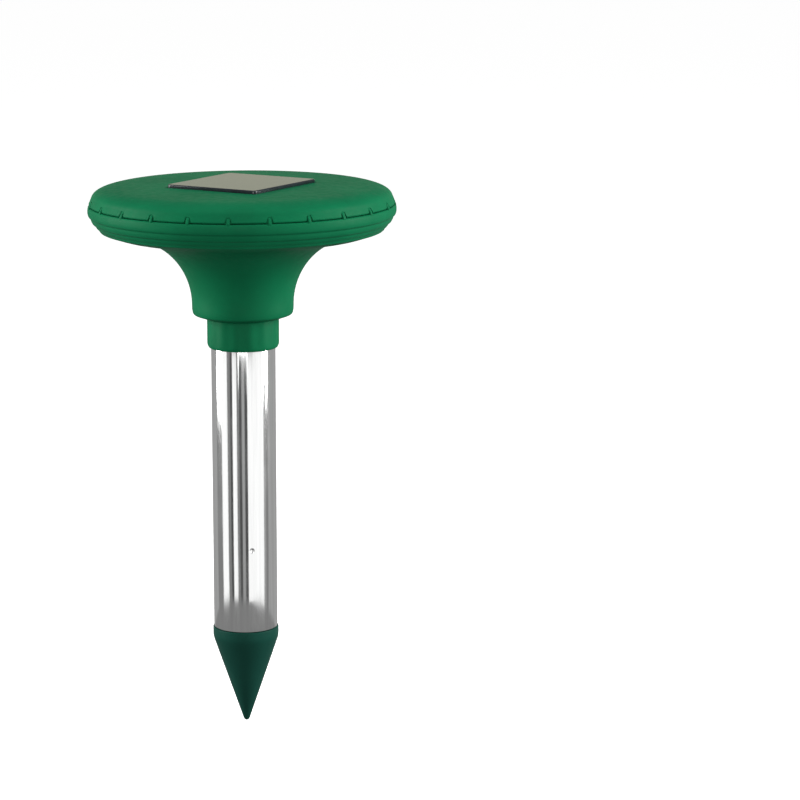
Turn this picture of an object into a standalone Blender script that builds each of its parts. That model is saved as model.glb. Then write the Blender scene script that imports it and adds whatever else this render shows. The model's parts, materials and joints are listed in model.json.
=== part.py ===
"""Solar mole repeller: a garden stake that sends sound pulses into the soil.

A green disc-shaped head holds the solar panel, battery, circuit board and sounder. It screws with a
quick four-start thread onto a fluted collar at the top of an aluminium tube, which ends in a plastic
spike. Every height below is in millimetres above the spike's tip, and every angle is measured from +X.
The row's origin is on the axis at the soil line, SOIL_LINE above the tip, and -Y is the front.
"""

import math

import bmesh
import bpy
from mathutils import Matrix, Vector

MM = 0.001

# Driving dimensions
SOIL_LINE = 165.0  # how deep the stake is pushed in
TUBE_R = 16.0  # outer radius of the aluminium tube
TUBE_WALL = 1.0
TUBE_FOOT = 50.0
TUBE_TOP = 213.0
HEAD_R = 76.0  # the widest bead of the head
COLLAR_FOOT = 192.5
COLLAR_R = 17.9
PARTING = 263.8  # ledge of the housing under the cap's skirt
GAP = 0.3  # between pieces that touch on the real object

# Segments round each kind of turned piece
HEAD_SIDES = 32
COLLAR_SIDES = 28
STAKE_SIDES = 24
SOUNDER_SIDES = 20
SCREW_SIDES = 8
POST_SIDES = 10

# Quick thread between the collar's neck and the head
THREAD_STARTS = 4
THREAD_LEAD = 24.0  # rise in one turn
THREAD_RIB = 1.5  # height of a rib along the axis
THREAD_PLAY = 0.4
NECK_R = 17.6
LUG_CREST_R = 18.9
LUG_ARC = 52.0
LUG_START = 209.2
SOCKET_R = 19.3  # bore of the head round the thread
SOCKET_RIB_R = 17.95
SOCKET_RIB_ARC = 45.0
SOCKET_RIB_DELAY = 24.0  # degrees after the lug that it holds down
SEAL_BORE_R = 17.9
SHELF_TOP = 221.6  # shelf that carries the sounder

# Head
FLOOR_TOP = 251.5
CAP_SCREW_R = 65.0
CAP_SCREW_ANGLES = (45.0, 135.0, 225.0, 315.0)
TRAY_SCREW_R = 54.0
TRAY_SCREW_ANGLES = (30.0, 150.0, 270.0)
TRAY_BASE = 255.8
TRAY_THICK = 1.8
SOUNDER_SCREW_R = 20.9
RIM_RIBS = 24
RIM_RIB_START = -92.0
PANEL = (55.0, 52.0, 3.8)
PANEL_ANGLE = 59.0
PANEL_TOP = 274.8

# Circuit board
BOARD_X = 24.0  # half width
BOARD_Y = (23.0, 65.0)
BOARD_Z = 260.3
BOARD_THICK = 1.6
BOARD_TOP = BOARD_Z + BOARD_THICK
BOARD_SCREWS_ON_TRAY = ((-20.0, 27.5), (20.0, 27.5))
BOARD_SCREWS_ON_HOUSING = ((-19.0, 58.5), (19.0, 58.5))
BUTTON_AT = (0.0, 58.0)

# Battery: three AAA cells side by side along X
CELL_R = 5.25
CELL_HALF = 21.65
CELL_PITCH = 11.2
CELL_Z = 248.5
CELL_SHIFT = 0.6  # towards the positive end, which leaves room for the spring
CELL_SIGNS = (1, -1, 1)
CRADLE_HALF = (24.75, 17.2)
CRADLE_WALL = 1.4
CRADLE_FLOOR = 242.9
CONTACT_X = 24.05

for old in list(bpy.data.objects):
    bpy.data.objects.remove(old, do_unlink=True)


# ---------------------------------------------------------------- materials
def material(name, colour, roughness, metallic=0.0):
    made = bpy.data.materials.new(name)
    made.use_nodes = True
    shader = made.node_tree.nodes["Principled BSDF"]
    shader.inputs["Base Color"].default_value = (*colour, 1.0)
    shader.inputs["Roughness"].default_value = roughness
    shader.inputs["Metallic"].default_value = metallic
    made.diffuse_color = (*colour, 1.0)
    return made


GREEN = material("green_plastic", (0.010, 0.130, 0.060), 0.45)
DARK_GREEN = material("dark_green_plastic", (0.006, 0.055, 0.036), 0.38)
ALUMINIUM = material("polished_aluminium", (0.80, 0.80, 0.79), 0.12, 1.0)
STEEL = material("zinc_steel", (0.58, 0.58, 0.56), 0.30, 1.0)
BRASS = material("contact_brass", (0.72, 0.56, 0.28), 0.30, 1.0)
COPPER = material("copper_wire", (0.72, 0.33, 0.16), 0.32, 1.0)
BLACK_RUBBER = material("black_rubber", (0.02, 0.02, 0.02), 0.70)
BLACK_PLASTIC = material("black_plastic", (0.03, 0.03, 0.03), 0.45)
FOAM = material("white_foam", (0.75, 0.75, 0.72), 0.90)
SOLAR = material("solar_laminate", (0.03, 0.04, 0.07), 0.10)
BOARD = material("green_board", (0.02, 0.16, 0.06), 0.40)
CELL_SLEEVE = material("cell_sleeve", (0.03, 0.20, 0.33), 0.35)
NATURAL = material("natural_nylon", (0.78, 0.76, 0.68), 0.50)
PAPER_CONE = material("paper_cone", (0.10, 0.095, 0.085), 0.85)
FERRITE = material("ferrite", (0.06, 0.06, 0.065), 0.55)
RED_WIRE = material("red_wire", (0.55, 0.02, 0.015), 0.45)
BLACK_WIRE = material("black_wire", (0.02, 0.02, 0.02), 0.45)


# ---------------------------------------------------------------- helpers
def empty(name, parent=None, at=(0.0, 0.0, 0.0)):
    made = bpy.data.objects.new(name, None)
    bpy.context.scene.collection.objects.link(made)
    made.parent = parent
    made.location = Vector(at) * MM
    return made


def finish(name, mesh_edit, look, parent, at=(0.0, 0.0, 0.0), turn_z=0.0):
    """Turns an edited mesh, in millimetres, into a linked object with its material."""
    bmesh.ops.remove_doubles(mesh_edit, verts=mesh_edit.verts, dist=1e-4)
    bmesh.ops.recalc_face_normals(mesh_edit, faces=mesh_edit.faces)
    bmesh.ops.scale(mesh_edit, verts=mesh_edit.verts, vec=(MM, MM, MM))
    mesh = bpy.data.meshes.new(name)
    mesh_edit.to_mesh(mesh)
    mesh_edit.free()
    mesh.shade_smooth()
    mesh.set_sharp_from_angle(angle=math.radians(30))
    made = bpy.data.objects.new(name, mesh)
    bpy.context.scene.collection.objects.link(made)
    mesh.materials.append(look)
    made.parent = parent
    made.location = Vector(at) * MM
    made.rotation_euler = (0.0, 0.0, math.radians(turn_z))
    return made


def turned_mesh(outline, sides):
    """Spins a closed (radius, height) outline round Z, or one that starts and ends on the axis."""
    edit = bmesh.new()
    points = [edit.verts.new((r, 0.0, z)) for r, z in outline]
    on_axis = outline[0][0] == 0.0 and outline[-1][0] == 0.0
    pairs = list(zip(points, points[1:])) + ([] if on_axis else [(points[-1], points[0])])
    edges = [edit.edges.new(pair) for pair in pairs]
    bmesh.ops.spin(
        edit, geom=points + edges, axis=(0, 0, 1), cent=(0, 0, 0), angle=math.tau, steps=sides
    )
    return edit


def turned(name, outline, sides, look, parent, at=(0.0, 0.0, 0.0)):
    return finish(name, turned_mesh(outline, sides), look, parent, at)


def add_box(edit, low, high, matrix=None):
    size = Vector(high) - Vector(low)
    middle = (Vector(high) + Vector(low)) / 2
    place = Matrix.Translation(middle) @ Matrix.Diagonal((*size, 1.0))
    bmesh.ops.create_cube(edit, size=1.0, matrix=(matrix or Matrix.Identity(4)) @ place)


def add_rod(edit, radius, low, high, at=(0.0, 0.0), sides=POST_SIDES, top_radius=None):
    """A closed cylinder, or a cone when top_radius is given, standing on the point at."""
    bmesh.ops.create_cone(
        edit,
        cap_ends=True,
        segments=sides,
        radius1=radius,
        radius2=radius if top_radius is None else top_radius,
        depth=high - low,
        matrix=Matrix.Translation((at[0], at[1], (low + high) / 2)),
    )


def boolean(target, operation, edit, label):
    """Joins or cuts target with a hidden helper made from edit."""
    helper = finish(f"{target.name}.{label}", edit, target.data.materials[0], target.parent)
    helper.hide_render = True
    helper.display_type = "WIRE"
    step = target.modifiers.new(label, "BOOLEAN")
    step.operation = operation
    step.solver = "EXACT"
    step.object = helper


def polar(radius, degrees):
    angle = math.radians(degrees)
    return radius * math.cos(angle), radius * math.sin(angle)


def arc(centre, radius, start, end, steps):
    """Points of an arc in the (radius, height) plane, from start to end degrees."""
    turns = [math.radians(start + (end - start) * i / steps) for i in range(steps + 1)]
    return [(centre[0] + radius * math.cos(t), centre[1] + radius * math.sin(t)) for t in turns]


def add_helical_rib(edit, inner, outer, start, start_height, sweep, steps=6):
    """A rib of trapezoid section that climbs with the thread's lead."""
    rings = []
    for i in range(steps + 1):
        turn = sweep * i / steps
        height = start_height + THREAD_LEAD * turn / 360.0
        root, crest = THREAD_RIB / 2, THREAD_RIB / 2 - 0.25
        section = [(inner, -root), (outer, -crest), (outer, crest), (inner, root)]
        if outer < inner:
            section.reverse()
        ring = []
        for radius, lift in section:
            x, y = polar(radius, start + turn)
            ring.append(edit.verts.new((x, y, height + lift)))
        rings.append(ring)
    for low, high in zip(rings, rings[1:]):
        for i in range(4):
            edit.faces.new((low[i], low[(i + 1) % 4], high[(i + 1) % 4], high[i]))
    edit.faces.new(rings[0])
    edit.faces.new(list(reversed(rings[-1])))


def smooth_route(points, per_span=4):
    """Catmull-Rom points through the given ones."""
    ends = [2 * points[0] - points[1], *points, 2 * points[-1] - points[-2]]
    route = []
    for a, b, c, d in zip(ends, ends[1:], ends[2:], ends[3:]):
        for i in range(per_span):
            t = i / per_span
            route.append(
                0.5 * (2 * b + (c - a) * t + (2 * a - 5 * b + 4 * c - d) * t**2
                       + (3 * b - a - 3 * c + d) * t**3)
            )
    return route + [points[-1]]


def wire(name, points, radius, look, parent, sides_level=1):
    """A round wire along points, in millimetres, with closed ends."""
    curve = bpy.data.curves.new(name, "CURVE")
    curve.dimensions = "3D"
    curve.bevel_depth = radius * MM
    curve.bevel_resolution = sides_level
    curve.use_fill_caps = True
    spline = curve.splines.new("POLY")
    spline.points.add(len(points) - 1)
    for target, point in zip(spline.points, points):
        target.co = (*(Vector(point) * MM), 1.0)
    curve.materials.append(look)
    made = bpy.data.objects.new(name, curve)
    bpy.context.scene.collection.objects.link(made)
    made.parent = parent
    return made


def screw(name, at, seat, head_r, head_h, shank_r, length, parent, upwards=False):
    """A pan-head screw whose head sits on the height seat, pointing down, or up when upwards."""
    sign = -1.0 if upwards else 1.0
    slot_r, slot_z = 0.45 * head_r, 0.45 * head_h
    outline = [
        (0.0, slot_z),
        (slot_r, slot_z),
        (slot_r, head_h),
        (0.72 * head_r, head_h),
        (head_r, 0.55 * head_h),
        (head_r, 0.0),
        (shank_r, 0.0),
        (shank_r, 1.2 - length),
        (0.0, -length),
    ]
    outline = [(r, sign * z) for r, z in outline]
    return turned(name, outline, SCREW_SIDES, STEEL, parent, at=(at[0], at[1], seat))


# ---------------------------------------------------------------- bodies
datum = empty("tip_datum", at=(0.0, 0.0, -SOIL_LINE))
stake = empty("stake_body", datum)
seal_axis = empty("neck_seal_body", datum)
head = empty("head_body", datum)
button_axis = empty("power_button_body", datum, at=(*BUTTON_AT, 0.0))
diaphragm_axis = empty("diaphragm_body", datum)


# ---------------------------------------------------------------- stake
SPIKE_TIP_R = 1.6
SPIKE_SLOPE = 18.8  # half angle of the cone
SPIKE_SHOULDER = (15.5, 42.0)
SPIGOT_R = TUBE_R - TUBE_WALL - 0.4
SEAL_GROOVE = (53.5, 56.1)
STAKING_HEIGHT = 92.0
DIMPLE_ANGLE = -74.5


def make_spike():
    tip = arc((0.0, SPIKE_TIP_R), SPIKE_TIP_R, -90.0, -SPIKE_SLOPE, 3)
    rim = TUBE_FOOT - GAP
    outline = [(0.0, 0.0)] + tip[1:] + [
        SPIKE_SHOULDER,
        (16.3, 44.3),
        (16.5, 45.2),
        (16.5, rim),
        (SPIGOT_R, rim),
        (SPIGOT_R, SEAL_GROOVE[0]),
        (12.9, SEAL_GROOVE[0]),
        (12.9, SEAL_GROOVE[1]),
        (SPIGOT_R, SEAL_GROOVE[1]),
        (SPIGOT_R, STAKING_HEIGHT - 1.8),
        (13.6, STAKING_HEIGHT - 1.2),
        (13.6, STAKING_HEIGHT + 1.2),
        (SPIGOT_R, STAKING_HEIGHT + 1.8),
        (13.8, 98.2),
        (11.6, 98.2),
        (10.6, 48.0),
        (0.0, 17.0),
    ]
    turned("spike", outline, STAKE_SIDES, DARK_GREEN, stake)
    seal_middle = sum(SEAL_GROOVE) / 2
    ring = arc((13.95, seal_middle), 0.8, 45.0, 315.0, 3)
    turned("spike_seal", ring, STAKE_SIDES, BLACK_RUBBER, stake)


def make_tube():
    inner = TUBE_R - TUBE_WALL
    outline = [(TUBE_R, TUBE_FOOT), (TUBE_R, TUBE_TOP), (inner, TUBE_TOP), (inner, TUBE_FOOT)]
    tube = turned("tube", outline, STAKE_SIDES, ALUMINIUM, stake)
    # A punched dimple locks the spike's groove: a bump inside and a hollow outside.
    around = Matrix.Rotation(math.radians(DIMPLE_ANGLE), 4, "Z")
    outwards = Matrix.Translation((0, 0, STAKING_HEIGHT)) @ around @ Matrix.Rotation(math.pi / 2, 4, "Y")
    bump = bmesh.new()
    bmesh.ops.create_cone(
        bump, cap_ends=True, segments=POST_SIDES, radius1=0.8, radius2=1.4, depth=1.2,
        matrix=outwards @ Matrix.Translation((0, 0, 14.95)),
    )
    boolean(tube, "UNION", bump, "dimple_bump")
    hollow = bmesh.new()
    bmesh.ops.create_icosphere(
        hollow, subdivisions=2, radius=1.5, matrix=outwards @ Matrix.Translation((0, 0, 17.0))
    )
    boolean(tube, "DIFFERENCE", hollow, "dimple_hollow")


COLLAR_BORE_R = TUBE_R + GAP
FLUTE_DEPTH = 0.3
NECK_TOP = 219.7
NECK_SEAL_HEIGHT = 216.4


def make_collar():
    outline = [
        (COLLAR_BORE_R, COLLAR_FOOT),
        (16.9, COLLAR_FOOT),
        (COLLAR_R - 0.3, COLLAR_FOOT + 1.0),
        (COLLAR_R, COLLAR_FOOT + 1.8),
        (COLLAR_R, 206.7),
        (NECK_R, 207.2),
        (NECK_R, 213.4),
        (17.0, 213.9),
        (17.0, 215.0),
        (15.3, 215.0),
        (15.3, 217.8),
        (17.0, 217.8),
        (17.0, NECK_TOP - 0.5),
        (16.5, NECK_TOP),
        (13.0, NECK_TOP),
        (13.0, TUBE_TOP + GAP),
        (COLLAR_BORE_R, TUBE_TOP + GAP),
    ]
    edit = turned_mesh(outline, COLLAR_SIDES)
    bmesh.ops.remove_doubles(edit, verts=edit.verts, dist=1e-4)
    for vert in edit.verts:
        radius = math.hypot(vert.co.x, vert.co.y)
        step = round(math.degrees(math.atan2(vert.co.y, vert.co.x)) / (360.0 / COLLAR_SIDES))
        if abs(radius - COLLAR_R) < 0.01 and step % 2:
            shrink = (COLLAR_R - FLUTE_DEPTH) / COLLAR_R
            vert.co.x *= shrink
            vert.co.y *= shrink
    collar = finish("collar", edit, GREEN, stake)
    lugs = bmesh.new()
    for start in range(THREAD_STARTS):
        turn = start * 360.0 / THREAD_STARTS
        add_helical_rib(lugs, NECK_R - 0.4, LUG_CREST_R, turn, LUG_START, LUG_ARC)
    boolean(collar, "UNION", lugs, "thread_lugs")


def make_neck_seal():
    ring = arc((16.5, NECK_SEAL_HEIGHT), 1.0, 45.0, 315.0, 3)
    turned("neck_seal", ring, HEAD_SIDES, BLACK_RUBBER, seal_axis)


# ---------------------------------------------------------------- housing and cap
# The funnel flares along a quarter ellipse, upright at the neck and nearly level under the rings
FLARE_CENTRE = (58.7, 214.0)
FLARE_REACH = 33.5
FLARE_RISE = 34.3
FLARE_WALL = 2.2
CAP_BOSS_TOP = 254.9
CAP_SCREW_SEAT = 252.6
TRAY_BOSS_TOP = TRAY_BASE - GAP
BOARD_POST_TOP = BOARD_Z - GAP
def flare(start, end, steps, wall=0.0):
    """Points (radius, height) of the funnel, or of its bore where a wall is given."""
    turns = [math.radians(start + (end - start) * i / steps) for i in range(steps + 1)]
    return [(FLARE_CENTRE[0] - (FLARE_REACH + wall) * math.cos(t),
             FLARE_CENTRE[1] + (FLARE_RISE + wall) * math.sin(t)) for t in turns]


SKIRT_FOOT = PARTING + 1.1
SKIRT_R = 75.2
NOTCH_FLOOR_R = 72.9
NOTCH_WIDTH = 2.4
NOTCH_TOP = SKIRT_FOOT + 3.1
RIM_RIB_WIDTH = 1.2


def add_round_rim(edit, inner, outer, width, low, high):
    """Equal blocks round the rim, one at each notch."""
    for index in range(RIM_RIBS):
        turn = Matrix.Rotation(math.radians(RIM_RIB_START + index * 360.0 / RIM_RIBS), 4, "Z")
        add_box(edit, (inner, -width / 2, low), (outer, width / 2, high), turn)


def make_housing():
    socket = [
        (20.0, 207.7),
        (24.4, 209.3),
        (25.0, 211.2),
    ]
    rings = [
        (51.5, 247.6),
        (62.6, 249.0),
        (70.1, 251.4),
        (70.8, 252.2),
        (72.4, 255.0),
        (73.4, 255.3),
        (74.5, 258.2),
        (75.3, 258.6),
        (HEAD_R, 260.3),
        (HEAD_R, 262.3),
        (75.3, PARTING),
    ]
    upstand = [
        (71.4, PARTING),
        (71.4, 267.0),
        (69.6, 267.0),
        (69.6, 263.2),
        (71.6, 261.6),
        (70.6, 255.4),
        (66.0, FLOOR_TOP),
        (48.4, FLOOR_TOP),
    ]
    bore = [
        (23.0, SHELF_TOP),
        (13.5, SHELF_TOP),
        (13.5, NECK_TOP + 0.4),
        (SEAL_BORE_R, NECK_TOP + 0.4),
        (SEAL_BORE_R, 213.9),
        (SOCKET_R, 213.6),
        (SOCKET_R, 208.0),
    ]
    funnel = flare(0.0, 75.0, 7)
    funnel_bore = flare(62.0, 14.0, 5, FLARE_WALL)
    outline = socket + funnel + rings + upstand + funnel_bore + bore
    housing = turned("housing", outline, HEAD_SIDES, GREEN, head)

    added = bmesh.new()
    below = FLOOR_TOP - 0.8
    for angle in CAP_SCREW_ANGLES:
        add_rod(added, 4.6, below, CAP_BOSS_TOP, polar(CAP_SCREW_R, angle))
    for angle in TRAY_SCREW_ANGLES:
        add_rod(added, 3.2, below, TRAY_BOSS_TOP, polar(TRAY_SCREW_R, angle))
    for at in BOARD_SCREWS_ON_HOUSING:
        add_rod(added, 2.8, below, BOARD_POST_TOP, at)
    add_round_rim(added, 73.4, SKIRT_R - 0.1, RIM_RIB_WIDTH, PARTING - 0.6, NOTCH_TOP - 0.5)
    boolean(housing, "UNION", added, "bosses_and_rim_ribs")

    ribs = bmesh.new()
    rib_height = LUG_START - THREAD_RIB - THREAD_PLAY + THREAD_LEAD * SOCKET_RIB_DELAY / 360.0
    for start in range(THREAD_STARTS):
        turn = start * 360.0 / THREAD_STARTS + SOCKET_RIB_DELAY
        add_helical_rib(ribs, SOCKET_R + 0.5, SOCKET_RIB_R, turn, rib_height, SOCKET_RIB_ARC)
    boolean(housing, "UNION", ribs, "thread_ribs")

    removed = bmesh.new()
    for angle in CAP_SCREW_ANGLES:
        at = polar(CAP_SCREW_R, angle)
        counterbore = [(0.0, 247.0), (3.3, 247.0), (3.3, CAP_SCREW_SEAT), (1.75, CAP_SCREW_SEAT),
                       (1.75, 256.0), (0.0, 256.0)]
        hole = turned_mesh(counterbore, POST_SIDES)
        bmesh.ops.remove_doubles(hole, verts=hole.verts, dist=1e-4)
        bmesh.ops.translate(hole, verts=hole.verts, vec=(*at, 0.0))
        copied = bpy.data.meshes.new("counterbore")
        hole.to_mesh(copied)
        hole.free()
        removed.from_mesh(copied)
    for angle in TRAY_SCREW_ANGLES:
        add_rod(removed, 1.45, 251.2, 257.0, polar(TRAY_SCREW_R, angle), SCREW_SIDES)
    for at in BOARD_SCREWS_ON_HOUSING:
        add_rod(removed, 1.45, 254.6, 262.0, at, SCREW_SIDES)
    for angle in TRAY_SCREW_ANGLES:
        add_rod(removed, 1.3, 216.4, 223.0, polar(SOUNDER_SCREW_R, angle), SCREW_SIDES)
    add_rod(removed, 5.2, 246.0, 254.0, BUTTON_AT)
    boolean(housing, "DIFFERENCE", removed, "holes")


def make_rim_gasket():
    low, high = PARTING + GAP, PARTING + 0.8
    turned("rim_gasket", [(71.8, low), (73.0, low), (73.0, high), (71.8, high)], HEAD_SIDES,
           BLACK_RUBBER, head)


CAP_TOP = 273.3
POCKET_FLOOR = 269.9


def make_cap():
    outline = [
        (0.0, CAP_TOP),
        (40.0, CAP_TOP - 0.1),
        (58.0, CAP_TOP - 0.35),
        (65.0, CAP_TOP - 0.75),
        (69.2, 271.6),
        (71.9, 270.4),
        (73.5, 268.9),
        (74.1, NOTCH_TOP),
        (SKIRT_R, SKIRT_FOOT),
        (71.8, SKIRT_FOOT),
        (71.8, 267.5),
        (69.6, 269.1),
        (66.0, 269.8),
        (0.0, 270.1),
    ]
    cap = turned("cap", outline, HEAD_SIDES, GREEN, head)

    added = bmesh.new()
    spin = Matrix.Rotation(math.radians(PANEL_ANGLE), 4, "Z")
    block = (PANEL[0] / 2 + 2.3, PANEL[1] / 2 + 2.3)
    add_box(added, (-block[0], -block[1], 267.9), (block[0], block[1], 271.3), spin)
    for angle in CAP_SCREW_ANGLES:
        add_rod(added, 3.4, CAP_BOSS_TOP + GAP, 270.6, polar(CAP_SCREW_R, angle))
    boolean(cap, "UNION", added, "pocket_block_and_posts")

    notches = bmesh.new()
    add_round_rim(notches, NOTCH_FLOOR_R, HEAD_R, NOTCH_WIDTH, SKIRT_FOOT - 1.0, NOTCH_TOP)
    boolean(cap, "DIFFERENCE", notches, "rim_notches")

    removed = bmesh.new()
    pocket = (PANEL[0] / 2 + 0.4, PANEL[1] / 2 + 0.4)
    add_box(removed, (-pocket[0], -pocket[1], POCKET_FLOOR), (pocket[0], pocket[1], 276.0), spin)
    boolean(cap, "DIFFERENCE", removed, "panel_pocket")
    holes = bmesh.new()
    add_rod(holes, 3.5, 266.0, 271.0)
    for angle in CAP_SCREW_ANGLES:
        add_rod(holes, 1.75, 250.0, 263.5, polar(CAP_SCREW_R, angle), SCREW_SIDES)
    boolean(cap, "DIFFERENCE", holes, "holes")


def make_panel():
    base = PANEL_TOP - PANEL[2]
    half = (PANEL[0] / 2, PANEL[1] / 2)
    slab = bmesh.new()
    add_box(slab, (-half[0], -half[1], base), (half[0], half[1], PANEL_TOP))
    top_edges = [e for e in slab.edges if all(v.co.z > PANEL_TOP - 0.1 for v in e.verts)]
    bmesh.ops.bevel(slab, geom=top_edges, offset=0.9, segments=2, affect="EDGES")
    finish("solar_panel", slab, SOLAR, head, turn_z=PANEL_ANGLE)
    pad = bmesh.new()
    inset = 1.5
    add_box(pad, (inset - half[0], inset - half[1], base - 0.8),
            (half[0] - inset, half[1] - inset, base - GAP))
    adhesive = finish("panel_adhesive", pad, FOAM, head, turn_z=PANEL_ANGLE)
    hole = bmesh.new()
    add_rod(hole, 3.9, base - 3.0, base + 1.0)
    boolean(adhesive, "DIFFERENCE", hole, "lead_hole")


def make_cap_screws():
    for index, angle in enumerate(CAP_SCREW_ANGLES, 1):
        screw(f"cap_screw_{index}", polar(CAP_SCREW_R, angle), CAP_SCREW_SEAT - GAP,
              2.8, 1.9, 1.4, 10.6, head, upwards=True)


# ---------------------------------------------------------------- tray and battery
def make_tray():
    top = TRAY_BASE + TRAY_THICK
    edit = turned_mesh([(0.0, top), (49.5, top), (49.5, TRAY_BASE), (0.0, TRAY_BASE)], HEAD_SIDES)
    tray = finish("inner_tray", edit, BLACK_PLASTIC, head)
    outer = (CRADLE_HALF[0] + CRADLE_WALL, CRADLE_HALF[1] + CRADLE_WALL)
    added = bmesh.new()
    add_box(added, (-outer[0], -outer[1], CRADLE_FLOOR - 1.2), (outer[0], outer[1], TRAY_BASE + 0.9))
    for angle in TRAY_SCREW_ANGLES:
        add_box(added, (46.0, -4.5, TRAY_BASE + 0.05), (58.0, 4.5, top - 0.05),
                Matrix.Rotation(math.radians(angle), 4, "Z"))
    for at in BOARD_SCREWS_ON_TRAY:
        add_rod(added, 2.8, top - 0.8, BOARD_POST_TOP, at)
    boolean(tray, "UNION", added, "cradle_and_lugs")
    removed = bmesh.new()
    add_box(removed, (-CRADLE_HALF[0], -CRADLE_HALF[1], CRADLE_FLOOR),
            (CRADLE_HALF[0], CRADLE_HALF[1], TRAY_BASE + 5.0))
    for angle in TRAY_SCREW_ANGLES:
        add_rod(removed, 1.75, TRAY_BASE - 2.0, top + 2.0, polar(TRAY_SCREW_R, angle), SCREW_SIDES)
    for at in BOARD_SCREWS_ON_TRAY:
        add_rod(removed, 1.45, TRAY_BASE + 0.7, BOARD_POST_TOP + 2.0, at, SCREW_SIDES)
    add_rod(removed, 1.9, TRAY_BASE - 2.0, top + 2.0, (0.0, 20.9))
    boolean(tray, "DIFFERENCE", removed, "cradle_and_holes")
    for index, angle in enumerate(TRAY_SCREW_ANGLES, 1):
        screw(f"tray_screw_{index}", polar(TRAY_SCREW_R, angle), top + GAP, 2.6, 1.7, 1.1, 6.1, head)


def make_cells():
    for index, sign in enumerate(CELL_SIGNS):
        outline = [
            (0.0, -CELL_HALF),
            (CELL_R - 0.4, -CELL_HALF),
            (CELL_R, 0.4 - CELL_HALF),
            (CELL_R, CELL_HALF - 0.4),
            (CELL_R - 0.4, CELL_HALF),
            (1.9, CELL_HALF),
            (1.9, CELL_HALF + 1.0),
            (0.0, CELL_HALF + 1.0),
        ]
        edit = turned_mesh(outline, 16)
        bmesh.ops.rotate(edit, verts=edit.verts, matrix=Matrix.Rotation(sign * math.pi / 2, 3, "Y"))
        finish(f"battery_cell_{index + 1}", edit, CELL_SLEEVE, head,
               at=(sign * CELL_SHIFT, (index - 1) * CELL_PITCH, CELL_Z))


def make_contacts():
    """Brass end plates, which join the cells in series, and the steel springs at the negative ends."""
    low, high, tab_top = 243.6, 253.4, 259.0
    bars = {
        "battery_link_right": (1, -15.7, 4.5, False),
        "battery_plus_tab": (1, 6.7, 15.7, True),
        "battery_link_left": (-1, -4.5, 15.7, False),
        "battery_minus_tab": (-1, -15.7, -6.7, True),
    }
    for name, (side, start, end, has_tab) in bars.items():
        x = sorted((side * CONTACT_X, side * (CONTACT_X + 0.4)))
        plate = bmesh.new()
        add_box(plate, (x[0], start, low), (x[1], end, high))
        made = finish(name, plate, BRASS, head)
        if has_tab:
            tab = bmesh.new()
            middle = (start + end) / 2
            add_box(tab, (x[0], middle - 1.5, high - 2.0), (x[1], middle + 1.5, tab_top))
            boolean(made, "UNION", tab, "solder_tab")
    for index, sign in enumerate(CELL_SIGNS):
        wide, narrow, turns, per_turn = 3.4, 1.8, 2.5, 10
        start, end = CONTACT_X - 0.65, CELL_HALF - CELL_SHIFT + 0.65
        points = []
        for i in range(int(turns * per_turn) + 1):
            share = i / (turns * per_turn)
            radius = wide + (narrow - wide) * share
            angle = math.tau * turns * share
            points.append((-sign * (start + (end - start) * share),
                           (index - 1) * CELL_PITCH + radius * math.cos(angle),
                           CELL_Z + radius * math.sin(angle)))
        wire(f"contact_spring_{index + 1}", points, 0.3, STEEL, head, sides_level=0)


# ---------------------------------------------------------------- circuit board
def make_board():
    edit = bmesh.new()
    add_box(edit, (-BOARD_X, BOARD_Y[0], BOARD_Z), (BOARD_X, BOARD_Y[1], BOARD_TOP))
    rear_corners = [edge for edge in edit.edges
                    if all(v.co.y > BOARD_Y[1] - 0.1 for v in edge.verts)
                    and edge.verts[0].co.x == edge.verts[1].co.x]
    bmesh.ops.bevel(edit, geom=rear_corners, offset=5.0, segments=1, affect="EDGES")
    board = finish("circuit_board", edit, BOARD, head)
    holes = bmesh.new()
    for at in BOARD_SCREWS_ON_TRAY + BOARD_SCREWS_ON_HOUSING:
        add_rod(holes, 1.6, BOARD_Z - 1.0, BOARD_TOP + 1.0, at, SCREW_SIDES)
    boolean(board, "DIFFERENCE", holes, "screw_holes")
    for index, at in enumerate(BOARD_SCREWS_ON_TRAY + BOARD_SCREWS_ON_HOUSING, 1):
        screw(f"board_screw_{index}", at, BOARD_TOP + GAP, 2.4, 1.5, 1.1, 5.2, head)


def make_components():
    seat = BOARD_TOP + GAP
    chip = bmesh.new()
    add_box(chip, (-5.2, 41.0, seat), (5.2, 47.5, seat + 2.6))
    bmesh.ops.bevel(chip, geom=[e for e in chip.edges if all(v.co.z > seat + 2 for v in e.verts)],
                    offset=0.3, segments=1, affect="EDGES")
    finish("controller_chip", chip, BLACK_PLASTIC, head)
    turned("filter_capacitor", [(0.0, 0.0), (2.9, 0.0), (3.15, 0.5), (3.15, 4.4), (2.7, 4.9), (0.0, 4.9)],
           16, ALUMINIUM, head, at=(13.0, 42.0, seat))
    drum = [(0.0, 0.0), (4.4, 0.0), (4.4, 0.9), (3.4, 0.9), (3.4, 3.6), (4.4, 3.6), (4.4, 4.5), (0.0, 4.5)]
    turned("boost_coil", drum, 16, FERRITE, head, at=(-13.5, 43.0, seat))
    for name, x in (("panel_socket", -10.0), ("sounder_socket", 0.0), ("battery_socket", 10.0)):
        socket = bmesh.new()
        add_box(socket, (x - 3.4, BOARD_Y[0] + 0.6, seat), (x + 3.4, BOARD_Y[0] + 5.8, seat + 4.2))
        finish(name, socket, NATURAL, head)


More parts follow.
